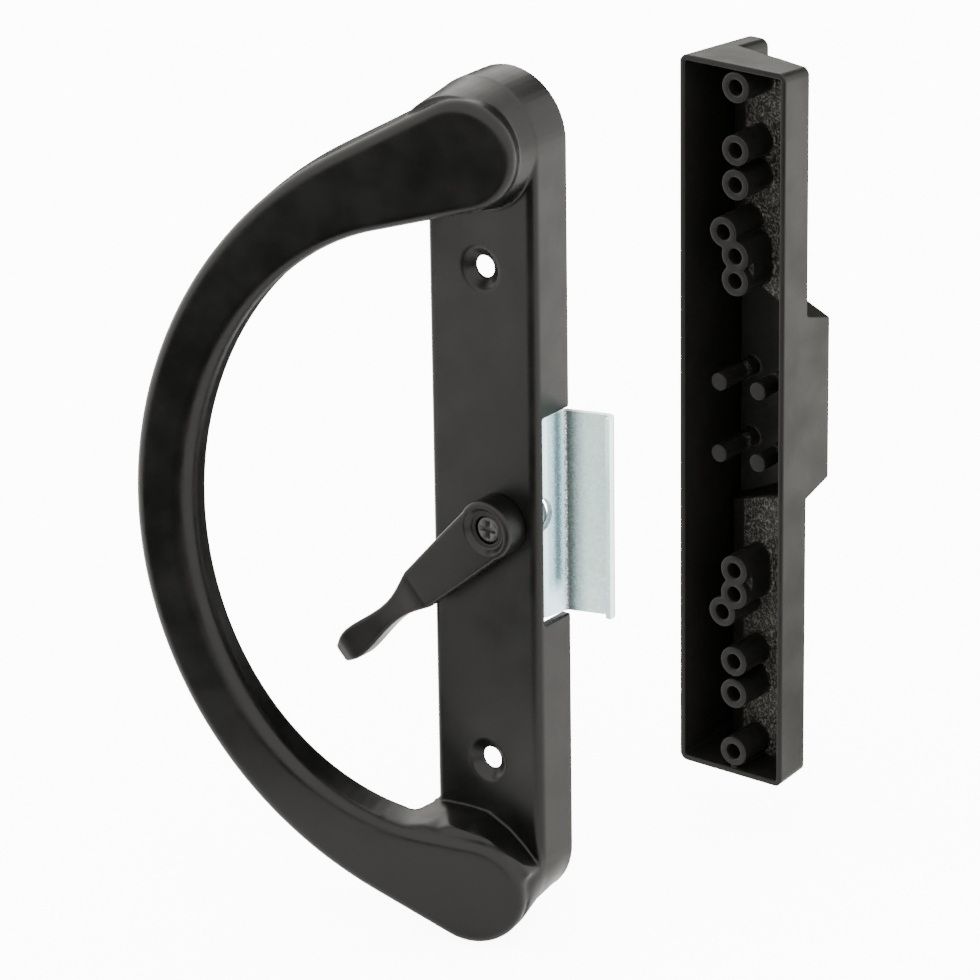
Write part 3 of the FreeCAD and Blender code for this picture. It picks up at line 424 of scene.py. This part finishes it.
def flatten_foot(mesh):
    """Press what stands above the lower foot's flat top down to it, and blend its edges."""
    points = coordinates(mesh) * 1000
    x, y, z = points.T
    nose_x = [p[0] for p in TOP_AT_NOSE]
    at_plate = np.interp(x, [p[0] for p in TOP_AT_PLATE], [p[1] for p in TOP_AT_PLATE])
    at_nose = np.interp(x, nose_x, [p[2] + nose_drop(p[0]) for p in TOP_AT_NOSE])
    nose_y = np.interp(x, nose_x, [p[1] for p in TOP_AT_NOSE])
    share = np.clip((y - PLATE_FRONT) / (nose_y - PLATE_FRONT), 0, 1)
    roof = at_plate + (at_nose - at_plate) * share
    high = (y < PLATE_FRONT - 0.03) & (z > roof) & (z < -67.0) & (x > -15.9) & (x < 17.0)
    points[:, 2] = np.where(high, roof, z)
    x, y, z = points.T
    lowest = np.where(x > 9.0, -94.0, -84.0)
    near = (y < PLATE_FRONT - 0.4) & (y > nose_y - 2.5) & (z > lowest) & (z < -71.0) & (abs(x) < 18.5)
    even_out(mesh, points, near, passes=45)
    set_coordinates(mesh, points / 1000)


# Die-cast pieces under baked paint have soft corners and blended valleys.

JOIN = 1e-6


def joined_copy(node, added=()):
    """A copy of a node's solid with its corners joined, and other solids beside it."""
    mesh = NODES[node].data.copy()
    build = bmesh.new()
    build.from_mesh(mesh)
    bmesh.ops.remove_doubles(build, verts=build.verts, dist=JOIN)
    for extra in added:
        build.from_mesh(extra)
    build.to_mesh(mesh)
    build.free()
    return place(node + "_rough", mesh)


def shaped(obj):
    """The mesh of an object with its modifiers applied."""
    return bpy.data.meshes.new_from_object(obj.evaluated_get(bpy.context.evaluated_depsgraph_get()))


def finished(name, mesh, body, node):
    """A finished piece that rides on its body and replaces the node."""
    mesh.shade_smooth()
    mesh.materials.clear()
    mesh.materials.append(LOOKS[SLOT_OF[node]])
    piece = place(name, mesh)
    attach(piece, body)
    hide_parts(node)
    print(piece.name, len(mesh.polygons))


def cast_skin(node, body, cell, passes, triangles, press=None, added=()):
    """A copy of a casting with every corner and valley softened by the paint."""
    rough = joined_copy(node, added)
    voxels = rough.modifiers.new("voxels", "REMESH")
    voxels.mode = "VOXEL"
    voxels.voxel_size = cell
    if press is not None:
        # The voxels run over the pressed form once more and even its faces.
        whole = shaped(rough)
        press(whole)
        rough.data = whole
    soften = rough.modifiers.new("soften", "SMOOTH")
    soften.factor = 0.5
    soften.iterations = passes
    depsgraph = bpy.context.evaluated_depsgraph_get()
    count = len(rough.evaluated_get(depsgraph).data.polygons) * 2
    if count > triangles:
        thin = rough.modifiers.new("thin", "DECIMATE")
        thin.ratio = triangles / count
    skin = shaped(rough)
    bpy.data.objects.remove(rough)
    cad = coordinates(NODES[node].data)
    set_coordinates(skin, np.clip(coordinates(skin), cad.min(axis=0), cad.max(axis=0)))
    finished(node + "_painted", skin, body, node)


def screw_with_recess():
    """The lever screw with its worn, tapered cross recess."""
    screw_x, mouth, floor = 5.0, (2.45, 0.78), (1.82, 0.42)
    screw = joined_copy("lever_screw")
    head_y = min(v.co.y for v in screw.data.vertices) * 1000
    knives = []
    for turn_by in (0, 90):
        a = math.radians(turn_by)
        along = Vector((math.cos(a), 0, math.sin(a)))
        across = Vector((-math.sin(a), 0, math.cos(a)))
        rings = [mm([Vector((screw_x, y, 0.0)) + along * u * half_length + across * v * half_width
                     for u, v in ((1, 1), (-1, 1), (-1, -1), (1, -1))])
                 for y, (half_length, half_width) in ((head_y - 0.5, mouth), (head_y + 0.92, floor))]
        knives.append(place("recess", solid("recess", rings)))
        cut = screw.modifiers.new("recess", "BOOLEAN")
        cut.operation = "DIFFERENCE"
        cut.solver = "EXACT"
        cut.object = knives[-1]
    soft = screw.modifiers.new("soft", "BEVEL")
    soft.width = 0.00012
    soft.segments = 2
    soft.limit_method = "ANGLE"
    soft.angle_limit = math.radians(40)
    done = shaped(screw)
    for tool in (screw, *knives):
        bpy.data.objects.remove(tool)
    finished("lever_screw_finished", done, "lever", "lever_screw")


cast_skin("handle_casting", "handle", 0.00030, 4, 195000, flatten_foot,
          (foot_web(), foot_flank(), *(screw_hole_lip(z) for z in SCREW_HOLES)))
cast_skin("pull_casting", "handle", 0.00025, 2, 195000)
cast_skin("thumb_lever", "lever", 0.00016, 2, 120000)
screw_with_recess()


# The camera stands where the photograph was taken from.

AZIMUTH = math.radians(37.52)
ELEVATION = math.radians(21.89)
ROLL = math.radians(-0.84)
DISTANCE = 1.300
SHIFT_RIGHT = -0.00145
SHIFT_UP = -0.00676
PIXELS_PER_METRE = 4230
PHOTO_PIXELS = 980
SENSOR = 36.0
away = Vector((math.sin(AZIMUTH) * math.cos(ELEVATION),
               -math.cos(AZIMUTH) * math.cos(ELEVATION), math.sin(ELEVATION)))
level = (-away).cross(Vector((0, 0, 1))).normalized()
upright = level.cross(-away)
right = level * math.cos(ROLL) + upright * math.sin(ROLL)
up = -level * math.sin(ROLL) + upright * math.cos(ROLL)
plate_face = Vector((0, PLATE_FRONT / 1000, 0))
eye = plate_face - right * SHIFT_RIGHT - up * SHIFT_UP + away * DISTANCE

camera_data = bpy.data.cameras.new("camera")
camera_data.sensor_width = SENSOR
camera_data.lens = SENSOR * PIXELS_PER_METRE * DISTANCE / PHOTO_PIXELS
camera = place("camera", camera_data)
camera.matrix_world = Matrix.Translation(eye) @ Matrix((right, up, away)).transposed().to_4x4()
bpy.context.scene.camera = camera


# A plain pale floor and soft light. Dark flags stand in front and behind, seen only in
# reflections.

FLOOR_HALF = 6.0
FLOOR_LIFT = 9.0
SKY = (1.0, 0.985, 0.94, 1.0)
SKY_STRENGTH = 4.0
floor_z = CAD_LOW[2] - 0.0005
flag_z = CAD_LOW[2] + 0.001
lamp_z = CAD_LOW[2] + 0.01


def sheet(name, corners, mat):
    mesh = bpy.data.meshes.new(name)
    mesh.from_pydata(corners, [], [tuple(range(len(corners)))])
    mesh.materials.append(mat)
    obj = place(name, mesh)
    return obj


def floor_paint():
    """Pale matt floor, lifted to the photograph's white for the camera alone."""
    mat, tree, shader = new_material("floor")
    shader["Base Color"].default_value = (0.95, 0.95, 0.95, 1)
    shader["Roughness"].default_value = 0.9
    shader["Specular IOR Level"].default_value = 0.1
    shader["Emission Color"].default_value = (*WHITE, 1.0)
    seen = tree.nodes.new("ShaderNodeLightPath").outputs["Is Camera Ray"]
    tree.links.new(math_of(tree, "MULTIPLY", seen, FLOOR_LIFT), shader["Emission Strength"])
    return mat


def flag_cloth():
    mat, _, shader = new_material("flag")
    shader["Base Color"].default_value = (0.008, 0.008, 0.008, 1)
    shader["Roughness"].default_value = 1.0
    return mat


sheet("floor", [(x * FLOOR_HALF, y * FLOOR_HALF, floor_z) for x, y in ((-1, -1), (1, -1), (1, 1), (-1, 1))],
      floor_paint())
cloth = flag_cloth()
for name, corners in (
    ("front_flag", [(-0.10, -0.10, flag_z), (1.41, -0.62, flag_z), (0.76, -2.51, flag_z),
                    (-0.98, -1.95, flag_z)]),
    ("rear_floor_flag", [(-0.10, 0.12, flag_z), (0.05, 0.12, flag_z), (0.55, 1.60, flag_z),
                         (-2.80, 1.60, flag_z)]),
    ("rear_wall_flag", [(-2.80, 1.60, flag_z), (0.55, 1.60, flag_z), (0.55, 1.60, 1.60),
                        (-0.35, 1.60, 1.60), (-0.75, 1.60, 0.50), (-2.80, 1.60, 0.50)]),
):
    flag = sheet(name, corners, cloth)
    flag.visible_camera = False
    flag.visible_diffuse = False
    flag.visible_shadow = False

world = bpy.data.worlds.new("studio")
world.use_nodes = True
world.node_tree.nodes["Background"].inputs["Color"].default_value = SKY
world.node_tree.nodes["Background"].inputs["Strength"].default_value = SKY_STRENGTH
bpy.context.scene.world = world

lamp_data = bpy.data.lights.new("low_right", "AREA")
lamp_data.shape = "SQUARE"
lamp_data.size = 0.9
lamp_data.energy = 3
lamp_data.color = (1.0, 0.96, 0.93)
lamp = place("low_right", lamp_data)
lamp.location = (0.52, 0.68, lamp_z)
lamp.rotation_euler = Vector((0, 0, 1)).to_track_quat("-Z", "Y").to_euler()
lamp.visible_camera = False
